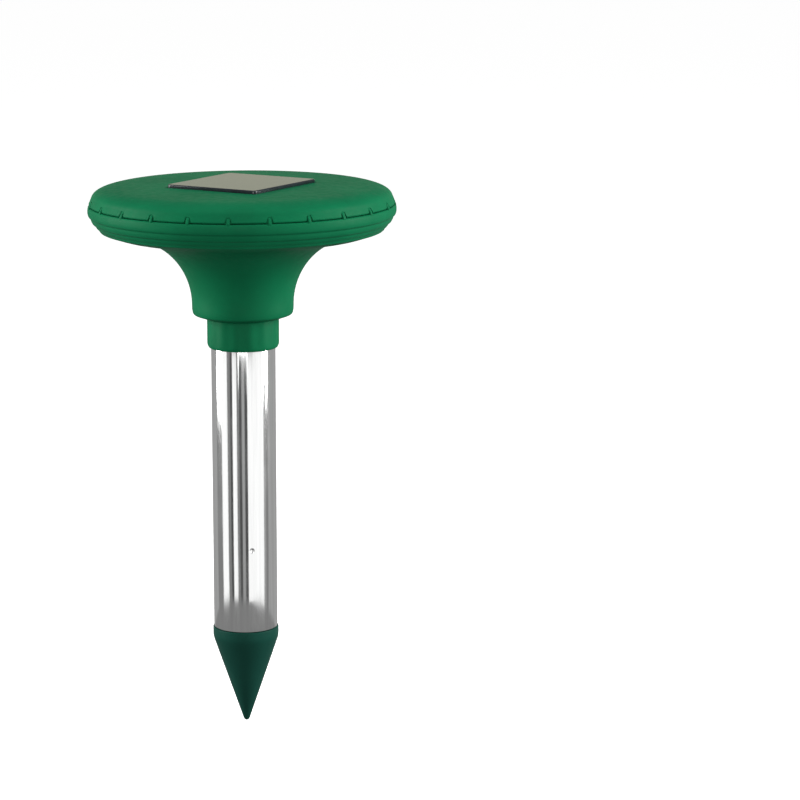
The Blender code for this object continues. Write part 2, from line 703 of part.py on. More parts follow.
def make_switch():
    low = 255.2
    body = bmesh.new()
    add_box(body, (-4.4, BUTTON_AT[1] - 4.4, low), (4.4, BUTTON_AT[1] + 4.4, BOARD_Z - GAP))
    switch = finish("switch_body", body, BLACK_PLASTIC, head)
    hole = bmesh.new()
    add_rod(hole, 2.1, low - 1.0, low + 2.9, BUTTON_AT)
    boolean(switch, "DIFFERENCE", hole, "plunger_hole")
    flange = FLOOR_TOP + GAP
    outline = [(0.0, 246.4), (2.0, 246.6), (3.4, 247.3), (4.0, 248.4), (4.0, flange), (6.2, flange),
               (6.2, flange + 0.8), (1.6, flange + 0.8), (1.6, low - 0.3), (0.0, low - 0.3)]
    turned("power_button", outline, POST_SIDES * 2, BLACK_RUBBER, button_axis)
    turned("button_seal", [(4.3, 249.5), (4.9, 249.5), (4.9, 251.1), (4.3, 251.1)], POST_SIDES,
           BLACK_RUBBER, head, at=(*BUTTON_AT, 0.0))


# ---------------------------------------------------------------- sounder
def make_sounder():
    grille = turned("sounder_grille", [(0.0, 221.9), (18.6, 221.9), (18.6, 222.7), (0.0, 222.7)],
                    SOUNDER_SIDES, BLACK_PLASTIC, head)
    slots = bmesh.new()
    for index in range(6):
        add_box(slots, (4.0, -1.5, 221.0), (12.5, 1.5, 224.0),
                Matrix.Rotation(math.radians(index * 60.0), 4, "Z"))
    boolean(grille, "DIFFERENCE", slots, "slots")

    frame = turned(
        "sounder_frame",
        [(19.0, 221.9), (22.8, 221.9), (22.8, 224.5), (17.9, 224.5), (17.4, 229.3), (16.2, 230.7),
         (10.7, 230.7), (10.7, 229.3), (15.3, 229.3), (15.9, 228.3), (15.9, 223.0), (19.0, 223.0)],
        SOUNDER_SIDES, BLACK_PLASTIC, head)
    holes = bmesh.new()
    for angle in TRAY_SCREW_ANGLES:
        add_rod(holes, 1.3, 221.0, 226.0, polar(SOUNDER_SCREW_R, angle), SCREW_SIDES)
    boolean(frame, "DIFFERENCE", holes, "screw_holes")
    for index, angle in enumerate(TRAY_SCREW_ANGLES, 1):
        screw(f"sounder_screw_{index}", polar(SOUNDER_SCREW_R, angle), 224.5 + GAP,
              1.9, 1.3, 0.95, 7.6, head)

    turned("sounder_yoke",
           [(0.0, 229.9), (8.9, 229.9), (8.9, 225.9), (10.3, 225.9), (10.3, 231.3), (0.0, 231.3)],
           SOUNDER_SIDES, STEEL, head)
    turned("sounder_magnet", [(0.0, 227.2), (6.6, 227.2), (6.6, 229.6), (0.0, 229.6)],
           SOUNDER_SIDES, FERRITE, head)
    turned("pole_plate", [(0.0, 225.9), (7.0, 225.9), (7.0, 226.9), (0.0, 226.9)],
           SOUNDER_SIDES, STEEL, head)
    turned("sounder_surround",
           [(13.1, 223.4), (14.3, 224.3), (15.6, 223.4), (15.6, 223.9), (14.3, 224.8), (13.1, 223.9)],
           SOUNDER_SIDES, BLACK_RUBBER, head)
    turned("diaphragm",
           [(0.0, 223.4), (4.0, 223.7), (7.2, 224.7), (8.2, 224.9), (12.8, 223.4), (12.8, 223.9),
            (8.6, 225.4), (7.0, 225.3), (4.0, 224.2), (0.0, 223.9)],
           SOUNDER_SIDES, PAPER_CONE, diaphragm_axis)
    turned("voice_coil", [(7.5, 225.75), (8.3, 225.75), (8.3, 228.4), (7.5, 228.4)], SOUNDER_SIDES, COPPER,
           diaphragm_axis)


# ---------------------------------------------------------------- leads
LEAD_R = 0.55
SOCKET_MOUTH = BOARD_Y[0] + GAP
PLUG_Z = BOARD_TOP + 2.4


def make_leads():
    """Insulated leads between the panel, battery and sounder and their sockets on the board."""
    colours = (("red", RED_WIRE, 1.2), ("black", BLACK_WIRE, -1.2))
    for colour, look, aside in colours:
        panel = [(aside, 0, 270.5), (aside, 0, 268.0), (aside - 2, 3.0, 265.2), (aside - 8, 12.0, PLUG_Z),
                 (aside - 10, 19.0, PLUG_Z), (aside - 10, SOCKET_MOUTH, PLUG_Z)]
        sounder = [(aside + 4, 13.3, 231.5), (aside + 4, 16.5, 233.0), (aside + 2, 20.5, 238.0),
                   (0.7 * aside, 20.9, 246.0), (0.7 * aside, 20.9, 254.0), (0.7 * aside, 20.8, 260.0),
                   (aside, 21.2, 263.0), (aside, SOCKET_MOUTH, PLUG_Z)]
        for name, route in ((f"panel_lead_{colour}", panel), (f"sounder_lead_{colour}", sounder)):
            wire(name, smooth_route([Vector(p) for p in route], 2), LEAD_R, look, head)
    plus = [(24.2, 11.2, 259.9), (23.5, 12.0, 261.8), (19.0, 16.0, 263.6), (13.5, 19.0, PLUG_Z),
            (11.2, SOCKET_MOUTH, PLUG_Z)]
    minus = [(-24.2, -11.2, 259.9), (-22.0, -10.0, 260.9), (-10.0, -4.0, 260.4), (2.0, 6.0, 260.4),
             (7.4, 14.0, 262.6), (8.8, 19.0, PLUG_Z), (8.8, SOCKET_MOUTH, PLUG_Z)]
    wire("battery_lead_red", smooth_route([Vector(p) for p in plus], 2), LEAD_R, RED_WIRE, head)
    wire("battery_lead_black", smooth_route([Vector(p) for p in minus], 2), LEAD_R, BLACK_WIRE, head)


make_spike()
make_tube()
make_collar()
make_neck_seal()
make_housing()
make_rim_gasket()
make_cap()
make_panel()
make_cap_screws()
make_tray()
make_cells()
make_contacts()
make_board()
make_components()
make_switch()
make_sounder()
make_leads()
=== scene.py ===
"""Looks of the solar mole repeller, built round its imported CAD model.

Lengths here are in millimetres above the spike's tip, as in the CAD, until finish_mesh() turns them into
metres in the frame. The studio's lengths are in metres. Angles are in degrees from +X, and the front,
where the viewer stands, is at -Y.
"""

import json
import math

import bmesh
import bpy
from mathutils import Matrix, Vector


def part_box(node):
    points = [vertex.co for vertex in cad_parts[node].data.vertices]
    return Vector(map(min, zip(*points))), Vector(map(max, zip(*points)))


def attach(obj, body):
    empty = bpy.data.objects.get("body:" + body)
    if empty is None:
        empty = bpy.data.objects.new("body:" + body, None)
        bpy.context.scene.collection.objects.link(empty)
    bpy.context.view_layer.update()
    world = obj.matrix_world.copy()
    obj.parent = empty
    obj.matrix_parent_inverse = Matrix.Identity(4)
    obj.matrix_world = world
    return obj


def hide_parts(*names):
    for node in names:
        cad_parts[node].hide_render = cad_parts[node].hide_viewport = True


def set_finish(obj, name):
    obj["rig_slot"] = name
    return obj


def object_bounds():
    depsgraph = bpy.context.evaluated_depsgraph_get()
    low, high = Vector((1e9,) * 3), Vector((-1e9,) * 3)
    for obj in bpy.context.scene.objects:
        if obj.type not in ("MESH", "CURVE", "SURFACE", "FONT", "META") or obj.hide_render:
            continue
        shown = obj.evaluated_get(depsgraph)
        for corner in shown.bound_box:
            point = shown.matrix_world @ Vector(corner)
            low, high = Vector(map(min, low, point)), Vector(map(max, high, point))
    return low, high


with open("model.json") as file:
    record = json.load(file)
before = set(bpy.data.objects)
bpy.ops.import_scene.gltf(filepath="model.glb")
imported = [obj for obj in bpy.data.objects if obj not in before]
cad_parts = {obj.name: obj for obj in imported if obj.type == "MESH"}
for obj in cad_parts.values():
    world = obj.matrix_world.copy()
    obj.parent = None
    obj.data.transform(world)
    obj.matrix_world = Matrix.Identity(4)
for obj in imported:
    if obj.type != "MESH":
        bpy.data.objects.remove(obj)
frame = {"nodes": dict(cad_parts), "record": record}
cad_low, cad_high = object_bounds()

MM = 0.001
FRONT = -90.0


def height_of(metres):
    """Millimetres above the spike's tip of a height in the frame."""
    return (metres - cad_low.z) / MM


def top_of(node):
    return height_of(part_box(node)[1].z)


def foot_of(node):
    return height_of(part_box(node)[0].z)


def radius_of(node):
    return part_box(node)[1].x / MM


# Driving dimensions, from the frame
TUBE_R = radius_of("tube")
TUBE_FOOT = foot_of("tube")
TUBE_TOP = top_of("tube")
TUBE_WALL = 1.0
HEAD_R = radius_of("housing")
HOUSING_FOOT = foot_of("housing")
CAP_TOP = top_of("cap")
PANEL_TOP = top_of("solar_panel")
PANEL_BASE = foot_of("solar_panel")
COLLAR_FOOT = foot_of("collar")
NECK_TOP = top_of("collar")
SPIKE_TOP = top_of("spike")

# Shared features
LEDGE = 263.8  # top of the housing's bead, under the cap's skirt
SKIRT_FOOT = LEDGE + 0.25
NOTCHES = 24
FIRST_NOTCH = FRONT - 2.0
NOTCH_HEIGHT = 2.9
FLUTES = 15
FIRST_FLUTE = FRONT + 3.0
PANEL_SIZE = (55.0, 52.0)
PANEL_ANGLE = 59.0
CAP_SCREW_R = 65.0
CAP_SCREW_ANGLES = (45.0, 135.0, 225.0, 315.0)
BUTTON_AT = (0.0, 58.0)
DIMPLE_HEIGHT = 92.0
DIMPLE_ANGLE = FRONT + 15.5


# ---------------------------------------------------------------- mesh helpers
def polar(radius, degrees, height=0.0):
    angle = math.radians(degrees)
    return Vector((radius * math.cos(angle), radius * math.sin(angle), height))


def smoothstep(share):
    share = min(1.0, max(0.0, share))
    return share * share * (3.0 - 2.0 * share)


def even_angles(count):
    return [360.0 * index / count for index in range(count)]


def arc(centre, radius, start, end, steps):
    """Points of an arc in the (radius, height) plane."""
    turns = [math.radians(start + (end - start) * index / steps) for index in range(steps + 1)]
    return [(centre[0] + radius * math.cos(t), centre[1] + radius * math.sin(t)) for t in turns]


def filleted(corners, steps=4):
    """A closed outline of (radius, height, fillet) corners, each fillet drawn as a short curve."""
    outline = []
    for index, (radius, height, fillet) in enumerate(corners):
        here = Vector((radius, height))
        before = Vector(corners[index - 1][:2]) - here
        after = Vector(corners[(index + 1) % len(corners)][:2]) - here
        reach = min(fillet, 0.48 * before.length, 0.48 * after.length)
        if reach < 0.02:
            outline.append((radius, height))
            continue
        start, end = here + before.normalized() * reach, here + after.normalized() * reach
        for step in range(steps + 1):
            t = step / steps
            point = start * (1 - t) ** 2 + here * (2 * t * (1 - t)) + end * t**2
            outline.append((point.x, point.y))
    return outline


def flowing(points, per_span=6):
    """A smooth Catmull-Rom line through (radius, height) points."""
    line = [Vector(p) for p in points]
    ends = [2 * line[0] - line[1], *line, 2 * line[-1] - line[-2]]
    route = []
    for a, b, c, d in zip(ends, ends[1:], ends[2:], ends[3:]):
        for step in range(per_span):
            t = step / per_span
            point = 0.5 * (
                2 * b + (c - a) * t + (2 * a - 5 * b + 4 * c - d) * t**2 + (3 * b - a - 3 * c + d) * t**3
            )
            route.append((point.x, point.y))
    return route + [tuple(line[-1])]


def lathe_mesh(outline, angles, shape=None):
    """A turned solid. The outline is a closed loop of (radius, height), or a line between two points on
    the axis. shape may move each point: it takes and gives (radius, height, angle)."""
    edit = bmesh.new()
    rings = []
    for radius, height in outline:
        if radius == 0.0:
            rings.append([edit.verts.new((0.0, 0.0, height))])
            continue
        places = [(radius, height, angle) for angle in angles]
        if shape:
            places = [shape(*place) for place in places]
        rings.append([edit.verts.new(polar(r, angle, z)) for r, z, angle in places])
    pairs = list(zip(rings, rings[1:]))
    if len(rings[0]) > 1:
        pairs.append((rings[-1], rings[0]))
    for low, high in pairs:
        for index in range(max(len(low), len(high))):
            corners = []
            for ring, step in ((low, 0), (low, 1), (high, 1), (high, 0)):
                corner = ring[(index + step) % len(ring)]
                if corner not in corners:
                    corners.append(corner)
            edit.faces.new(corners)
    return edit


def finish_mesh(name, edit, slot, body, replaced=(), sharp=35.0):
    """Turns the edited mesh, in millimetres above the tip, into a piece that rides on a CAD body."""
    bmesh.ops.recalc_face_normals(edit, faces=edit.faces)
    bmesh.ops.scale(edit, verts=edit.verts, vec=(MM, MM, MM))
    bmesh.ops.translate(edit, verts=edit.verts, vec=(0.0, 0.0, cad_low.z))
    mesh = bpy.data.meshes.new(name)
    edit.to_mesh(mesh)
    edit.free()
    mesh.shade_smooth()
    mesh.set_sharp_from_angle(angle=math.radians(sharp))
    mesh.materials.append(LOOKS[slot])
    piece = bpy.data.objects.new(name, mesh)
    bpy.context.scene.collection.objects.link(piece)
    if body:
        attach(piece, body)
        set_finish(piece, slot)
    if replaced:
        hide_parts(*replaced)
    return piece


def add_box(edit, low, high, matrix=None, rounding=0.0):
    """A box with rounded edges, given by its corners before matrix turns it."""
    size = Vector(high) - Vector(low)
    middle = (Vector(high) + Vector(low)) / 2
    place = (matrix or Matrix.Identity(4)) @ Matrix.Translation(middle) @ Matrix.Diagonal((*size, 1.0))
    made = bmesh.ops.create_cube(edit, size=1.0, matrix=place)
    if rounding:
        edges = {edge for vert in made["verts"] for edge in vert.link_edges}
        bmesh.ops.bevel(edit, geom=list(edges), offset=rounding, segments=3, affect="EDGES", profile=0.5)


def cut(piece, edit, label):
    """Takes the shape in edit out of piece, and leaves no modifier behind."""
    tool = finish_mesh(label, edit, piece["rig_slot"], None)
    step = piece.modifiers.new(label, "BOOLEAN")
    step.operation = "DIFFERENCE"
    step.solver = "EXACT"
    step.object = tool
    graph = bpy.context.evaluated_depsgraph_get()
    solid = bpy.data.meshes.new_from_object(piece.evaluated_get(graph))
    if not solid.polygons:
        raise RuntimeError(f"{label} leaves nothing of {piece.name}")
    piece.modifiers.clear()
    piece.data = solid
    solid.shade_smooth()
    solid.set_sharp_from_angle(angle=math.radians(35.0))
    bpy.data.objects.remove(tool, do_unlink=True)


# ---------------------------------------------------------------- materials
class Look:
    """A Principled material whose details are added one call at a time."""

    def __init__(self, name, colour, roughness, metallic=0.0, **inputs):
        self.made = bpy.data.materials.new(f"{name}_finish")
        self.made.use_nodes = True
        self.made.diffuse_color = (*colour, 1.0)
        self.nodes = self.made.node_tree.nodes
        self.links = self.made.node_tree.links
        self.shader = self.nodes["Principled BSDF"]
        self.colour = colour
        self.put("Base Color", (*colour, 1.0))
        self.put("Roughness", roughness)
        self.put("Metallic", metallic)
        for key, value in inputs.items():
            self.put(key.replace("_", " "), value)
        self.place = self.nodes.new("ShaderNodeTexCoord").outputs["Object"]

    def put(self, socket, value):
        self.shader.inputs[socket].default_value = value

    def node(self, kind, **settings):
        made = self.nodes.new(kind)
        for key, value in settings.items():
            if key in made.inputs:
                made.inputs[key].default_value = value
            else:
                setattr(made, key, value)
        return made

    def stretched(self, scale):
        """The piece's own coordinates, squeezed along each axis by scale."""
        mapping = self.node("ShaderNodeMapping")
        mapping.inputs["Scale"].default_value = scale
        self.links.new(self.place, mapping.inputs["Vector"])
        return mapping.outputs["Vector"]

    def noise(self, size_mm, detail=3.0, stretch=(1.0, 1.0, 1.0)):
        """Noise whose lumps are about size_mm across, longer along the axes with a small stretch."""
        noise = self.node("ShaderNodeTexNoise", Scale=1.0, Detail=detail, Roughness=0.55)
        squeeze = [1.0 / (size_mm * MM) * share for share in stretch]
        self.links.new(self.stretched(squeeze), noise.inputs["Vector"])
        return noise.outputs["Fac"]

    def ramp(self, value, low, high, start=0.35, end=0.65):
        remap = self.node("ShaderNodeMapRange")
        for key, number in (("From Min", start), ("From Max", end), ("To Min", low), ("To Max", high)):
            remap.inputs[key].default_value = number
        self.links.new(value, remap.inputs["Value"])
        return remap.outputs["Result"]

    def vary_colour(self, value, dark, light, start=0.35, end=0.65):
        """Mixes the base colour between two multiples of itself, by value."""
        blend = self.node("ShaderNodeMix", data_type="RGBA")
        blend.inputs[7].default_value = (*[c * light for c in self.colour], 1.0)
        blend.inputs[6].default_value = (*[c * dark for c in self.colour], 1.0)
        self.links.new(self.ramp(value, 0.0, 1.0, start, end), blend.inputs["Factor"])
        self.links.new(blend.outputs[2], self.shader.inputs["Base Color"])
        return self

    def vary_roughness(self, value, low, high):
        self.links.new(self.ramp(value, low, high), self.shader.inputs["Roughness"])
        return self

    def bump(self, value, height_mm):
        bump = self.node("ShaderNodeBump", Strength=1.0, Distance=height_mm * MM)
        previous = self.shader.inputs["Normal"].links
        if previous:
            self.links.new(previous[0].from_socket, bump.inputs["Normal"])
        self.links.new(value, bump.inputs["Height"])
        self.links.new(bump.outputs["Normal"], self.shader.inputs["Normal"])
        return self


SATIN = 0.06  # specular level: the fine grain of the moulds kills most of the gloss


def moulded(name, colour, roughness, grain_mm=0.22, grain_height=0.006):
    """Injection-moulded plastic: faint flow clouds, uneven gloss and a fine spark-eroded grain."""
    look = Look(name, colour, roughness, IOR=1.46, Specular_IOR_Level=SATIN)
    look.vary_colour(look.noise(26.0, 4.0), 0.93, 1.08)
    look.vary_roughness(look.noise(3.5, 5.0), roughness - 0.05, roughness + 0.06)
    look.bump(look.noise(grain_mm, 2.0), grain_height)
    return look.made


def extruded_metal(name, colour):
    """Polished tube: fine draw lines along its length and faint handling marks."""
    look = Look(name, colour, 0.09, 1.0)
    lines = look.noise(0.35, 4.0, (1.0, 1.0, 0.012))
    look.vary_colour(look.noise(1.6, 3.0, (1.0, 1.0, 0.02)), 0.95, 1.02)
    look.vary_roughness(look.noise(6.0, 6.0, (1.0, 1.0, 0.25)), 0.06, 0.13)
    look.bump(lines, 0.0012)
    return look.made


def worked_metal(name, colour, roughness):
    look = Look(name, colour, roughness, 1.0)
    look.vary_colour(look.noise(1.2, 4.0), 0.88, 1.05)
    look.vary_roughness(look.noise(0.6, 4.0), roughness - 0.08, roughness + 0.12)
    look.bump(look.noise(0.15, 2.0), 0.002)
    return look.made


def soft_rubber(name, colour, roughness):
    look = Look(name, colour, roughness, Sheen_Weight=0.15)
    look.vary_colour(look.noise(4.0, 4.0), 0.85, 1.2)
    look.bump(look.noise(0.12, 2.0), 0.006)
    return look.made


def grained(name, colour, roughness, size_mm, height_mm, spread=0.12):
    """Paper, foam, ferrite and other matt surfaces with a visible grain."""
    look = Look(name, colour, roughness)
    look.vary_colour(look.noise(size_mm, 6.0), 1.0 - spread, 1.0 + spread)
    look.bump(look.noise(size_mm, 4.0), height_mm)
    return look.made


def smooth_laminate(name, colour):
    """Dark laminate with a smooth, slightly uneven face."""
    look = Look(name, colour, 0.14, IOR=1.5)
    look.vary_colour(look.noise(5.0, 5.0), 0.8, 1.25)
    look.bump(look.noise(9.0, 2.0), 0.01)
    return look.made


LOOKS = {
    "green_plastic": moulded("green_plastic", (0.0035, 0.150, 0.060), 0.50),
    "dark_green_plastic": moulded("dark_green_plastic", (0.009, 0.062, 0.045), 0.36, 0.4, 0.004),
    "polished_aluminium": extruded_metal("polished_aluminium", (0.90, 0.905, 0.90)),
    "zinc_steel": worked_metal("zinc_steel", (0.62, 0.62, 0.60), 0.28),
    "contact_brass": worked_metal("contact_brass", (0.75, 0.58, 0.28), 0.30),
    "copper_wire": worked_metal("copper_wire", (0.72, 0.33, 0.16), 0.35),
    "black_rubber": soft_rubber("black_rubber", (0.018, 0.018, 0.018), 0.62),
    "black_plastic": moulded("black_plastic", (0.025, 0.025, 0.027), 0.42),
    "white_foam": grained("white_foam", (0.74, 0.74, 0.70), 0.9, 0.6, 0.05),
    "solar_laminate": smooth_laminate("solar_laminate", (0.012, 0.018, 0.022)),
    "green_board": moulded("green_board", (0.02, 0.17, 0.06), 0.38, 0.8, 0.004),
    "cell_sleeve": moulded("cell_sleeve", (0.03, 0.20, 0.33), 0.32, 0.5, 0.003),
    "natural_nylon": moulded("natural_nylon", (0.76, 0.74, 0.66), 0.48),
    "paper_cone": grained("paper_cone", (0.10, 0.095, 0.085), 0.85, 0.35, 0.03),
    "ferrite": grained("ferrite", (0.06, 0.06, 0.065), 0.55, 0.4, 0.01),
    "red_wire": moulded("red_wire", (0.55, 0.02, 0.015), 0.42, 0.3, 0.002),
    "black_wire": moulded("black_wire", (0.02, 0.02, 0.02), 0.42, 0.3, 0.002),
}


def dress_cad_nodes():
    """Gives each CAD node the finished material of its slot in the record."""
    for part in frame["record"]["subparts"]:
        node = frame["nodes"][part["node"]]
        node.data.materials.clear()
        node.data.materials.append(LOOKS[part["material_slot"]])


# ---------------------------------------------------------------- cap
NOTCH_FOOT_WIDTH = 3.6
NOTCH_TOP_WIDTH = 1.8
NOTCH_FLOOR_R = 74.25
NOTCH_EDGE = 0.16
COLUMNS_PER_NOTCH = 10


def notch_columns():
    """Angles for the cap's columns: two close pairs mark the sides of each notch."""
    pitch = 360.0 / NOTCHES
    columns = []
    for index in range(NOTCHES):
        centre = FIRST_NOTCH + index * pitch
        columns += [(centre, side, edge) for side, edge in ((-1, 1), (-1, 0), (1, 0), (1, 1))]
        span = COLUMNS_PER_NOTCH - 4
        columns += [(centre + pitch * (0.14 + 0.72 * step / (span - 1)), 0, 0) for step in range(span)]
    return columns


def notch_shape(radius, height, column):
    """Presses the notches into the skirt; their sides lean in towards the top."""
    centre, side, edge = column
    if not side:
        return radius, height, centre
    share = (height - SKIRT_FOOT) / NOTCH_HEIGHT
    width = NOTCH_FOOT_WIDTH + (NOTCH_TOP_WIDTH - NOTCH_FOOT_WIDTH) * min(1.0, max(0.0, share))
    offset = side * (width / 2 + edge * NOTCH_EDGE)
    inside = not edge and share <= 1.0
    if inside:
        radius = min(radius, NOTCH_FLOOR_R)
    return radius, height, centre + math.degrees(offset / HEAD_R)


def make_cap():
    notch_top = SKIRT_FOOT + NOTCH_HEIGHT
    dome = flowing([
        (74.3, notch_top + NOTCH_EDGE),
        (73.5, 268.9),
        (71.9, 270.4),
        (69.2, 271.6),
        (65.0, CAP_TOP - 0.75),
        (58.0, CAP_TOP - 0.35),
        (40.0, CAP_TOP - 0.1),
        (20.0, CAP_TOP - 0.02),
    ], 5)
    lip = 73.3  # the skirt's outer lip hangs in front of the gasket
    skirt = 75.3
    outline = [(0.0, CAP_TOP)] + dome[::-1] + [
        (74.4, notch_top),
        (skirt - 0.35, SKIRT_FOOT + 1.5),
        (skirt, SKIRT_FOOT + 0.75),
        (skirt - 0.2, SKIRT_FOOT + 0.25),
        (skirt - 0.7, SKIRT_FOOT),
        (lip, SKIRT_FOOT),
        (lip - 0.1, SKIRT_FOOT + 0.5),
        (71.8, SKIRT_FOOT + 0.5),
        (71.8, 267.5),
        (69.6, 269.1),
        (66.0, 269.7),
        (46.0, 269.7),
        (43.0, 267.9),
        (0.0, 267.9),
    ]
    cap = finish_mesh("cap_shell", lathe_mesh(outline, notch_columns(), notch_shape),
                      "green_plastic", "head", ["cap"])
    pocket = bmesh.new()
    half = [side / 2 + 0.35 for side in PANEL_SIZE]
    add_box(pocket, (-half[0], -half[1], PANEL_BASE - 1.1), (half[0], half[1], PANEL_TOP + 5.0),
            Matrix.Rotation(math.radians(PANEL_ANGLE), 4, "Z"), 0.5)
    cut(cap, pocket, "panel_pocket")


# ---------------------------------------------------------------- housing
# The funnel flares along a quarter ellipse, upright at the neck and nearly level under the rings
FLARE_CENTRE = (58.7, 214.0)
FLARE_REACH = 33.5
FLARE_RISE = 34.3
FLARE_WALL = 2.2
CAP_SCREW_SEAT = 252.6


def flare(start, end, steps, wall=0.0):
    """Points (radius, height) of the funnel, or of its bore where a wall is given."""
    turns = [math.radians(start + (end - start) * step / steps) for step in range(steps + 1)]
    return [(FLARE_CENTRE[0] - (FLARE_REACH + wall) * math.cos(t),
             FLARE_CENTRE[1] + (FLARE_RISE + wall) * math.sin(t)) for t in turns]


def make_housing():
    lip = filleted([
        (19.3, HOUSING_FOOT + 0.4, 0.3),
        (20.0, HOUSING_FOOT, 0.4),
        (24.6, HOUSING_FOOT + 1.6, 0.9),
        (25.1, HOUSING_FOOT + 3.6, 1.2),
        (25.2, 213.2, 0.0),
        (19.3, 213.2, 0.0),
    ])[:-2]
    rings = filleted([
        (51.5, 247.6, 0.0),
        (62.6, 249.0, 1.2),
        (70.1, 251.4, 0.9),
        (70.6, 252.5, 0.6),
        (71.9, 253.6, 0.8),
        (72.6, 255.1, 0.7),
        (73.5, 255.4, 0.6),
        (74.4, 257.0, 0.8),
        (74.6, 258.4, 0.7),
        (75.5, 258.8, 0.7),
        (HEAD_R, 260.2, 0.9),
        (HEAD_R, 262.3, 0.9),
        (75.6, LEDGE, 0.7),
        (71.4, LEDGE, 0.1),
        (71.4, 267.0, 0.3),
        (69.6, 267.0, 0.3),
        (69.6, 263.2, 0.2),
        (71.6, 261.6, 0.2),
        (70.6, 255.4, 2.0),
        (66.0, 251.5, 1.5),
        (48.4, 251.5, 0.0),
    ], 3)
    bore = filleted([
        (23.0, 221.6, 0.1),
        (13.5, 221.6, 0.1),
        (13.5, NECK_TOP + 0.4, 0.1),
        (17.9, NECK_TOP + 0.4, 0.1),
        (17.9, 213.9, 0.1),
        (19.3, 213.6, 0.1),
        (19.3, HOUSING_FOOT + 0.4, 0.0),
    ], 3)[:-1]
    outline = lip + flare(0.0, 75.0, 40) + rings + flare(62.0, 14.0, 24, FLARE_WALL) + bore
    housing = finish_mesh("housing_shell", lathe_mesh(outline, even_angles(192)),
                          "green_plastic", "head", ["housing"])
    holes = bmesh.new()
    for angle in CAP_SCREW_ANGLES:
        add_counterbore(holes, polar(CAP_SCREW_R, angle))
    add_rod(holes, 5.2, 240.0, 253.0, Vector((*BUTTON_AT, 0.0)))
    cut(housing, holes, "underside_holes")


def add_rod(edit, radius, low, high, at, sides=48):
    place = Matrix.Translation(at + Vector((0.0, 0.0, (low + high) / 2)))
    bmesh.ops.create_cone(edit, cap_ends=True, segments=sides, radius1=radius, radius2=radius,
                          depth=high - low, matrix=place)


def add_counterbore(edit, at):
    outline = [(0.0, 240.0), (3.3, 240.0), (3.3, CAP_SCREW_SEAT), (0.0, CAP_SCREW_SEAT)]
    bore = lathe_mesh(outline, even_angles(40))
    bmesh.ops.recalc_face_normals(bore, faces=bore.faces)
    bmesh.ops.translate(bore, verts=bore.verts, vec=at)
    copied = bpy.data.meshes.new("counterbore")
    bore.to_mesh(copied)
    bore.free()
    edit.from_mesh(copied)


RIB_WIDTH = 1.5
RIB_PROFILE = ((72.6, LEDGE - 0.6), (75.8, LEDGE - 0.6), (75.8, LEDGE + 0.4), (74.5, SKIRT_FOOT + 2.5),
               (72.6, SKIRT_FOOT + 2.5))


def make_rim_ribs():
    """The housing's upright ribs, one inside each notch of the cap's skirt."""
    ribs = bmesh.new()
    for index in range(NOTCHES):
        turn = Matrix.Rotation(math.radians(FIRST_NOTCH + index * 360.0 / NOTCHES), 4, "Z")
        sides = [[ribs.verts.new(turn @ Vector((r, side * RIB_WIDTH / 2, z))) for r, z in RIB_PROFILE]
                 for side in (-1, 1)]
        faces = [ribs.faces.new(sides[0]), ribs.faces.new(sides[1][::-1])]
        for start in range(len(RIB_PROFILE)):
            end = (start + 1) % len(RIB_PROFILE)
            faces.append(ribs.faces.new((sides[0][start], sides[1][start], sides[1][end], sides[0][end])))
        edges = {edge for face in faces for edge in face.edges}
        bmesh.ops.bevel(ribs, geom=list(edges), offset=0.2, segments=2, affect="EDGES", profile=0.5)
    finish_mesh("rim_ribs", ribs, "green_plastic", "head")


# ---------------------------------------------------------------- solar panel
PANEL_ROUNDING = 0.7
PANEL_CORNER = 2.2
PANEL_RIM = 0.5  # flat strip inside the rounding


def rounded_rectangle(half_x, half_y, corner, steps=5):
    """Points round a rectangle with rounded corners, counterclockwise."""
    points = []
    for quarter, (x, y) in enumerate(((1, 1), (-1, 1), (-1, -1), (1, -1))):
        middle = (x * (half_x - corner), y * (half_y - corner))
        points += arc(middle, corner, 90.0 * quarter, 90.0 * (quarter + 1), steps)
    return points


def slab_mesh(size, corner, profile):
    """A flat block with rounded corners. Its profile is (inset, height), from below upwards."""
    edit = bmesh.new()
    turn = Matrix.Rotation(math.radians(PANEL_ANGLE), 4, "Z")
    rings = []
    for inset, height in profile:
        points = rounded_rectangle(size[0] / 2 - inset, size[1] / 2 - inset, max(0.3, corner - inset))
        rings.append([edit.verts.new(turn @ Vector((x, y, height))) for x, y in points])
    for low, high in zip(rings, rings[1:]):
        for index in range(len(low)):
            after = (index + 1) % len(low)
            edit.faces.new((low[index], low[after], high[after], high[index]))
    edit.faces.new(rings[0][::-1])
    edit.faces.new(rings[-1])
    return edit


def make_panel():
    """A slab of dark laminate with soft edges."""
    edge = arc((PANEL_ROUNDING, PANEL_TOP - PANEL_ROUNDING), PANEL_ROUNDING, 180.0, 90.0, 6)
    rim = (PANEL_ROUNDING + PANEL_RIM, PANEL_TOP)
    profile = [(0.8, PANEL_BASE), (0.0, PANEL_BASE + 0.5), *edge, rim]
    slab = slab_mesh(PANEL_SIZE, PANEL_CORNER, profile)
    finish_mesh("panel_slab", slab, "solar_laminate", "head", ["solar_panel"])


# ---------------------------------------------------------------- collar
COLLAR_R = 17.9  # of the sleeve; the thread lugs above it reach further out
FLUTE_DEPTH = 0.26


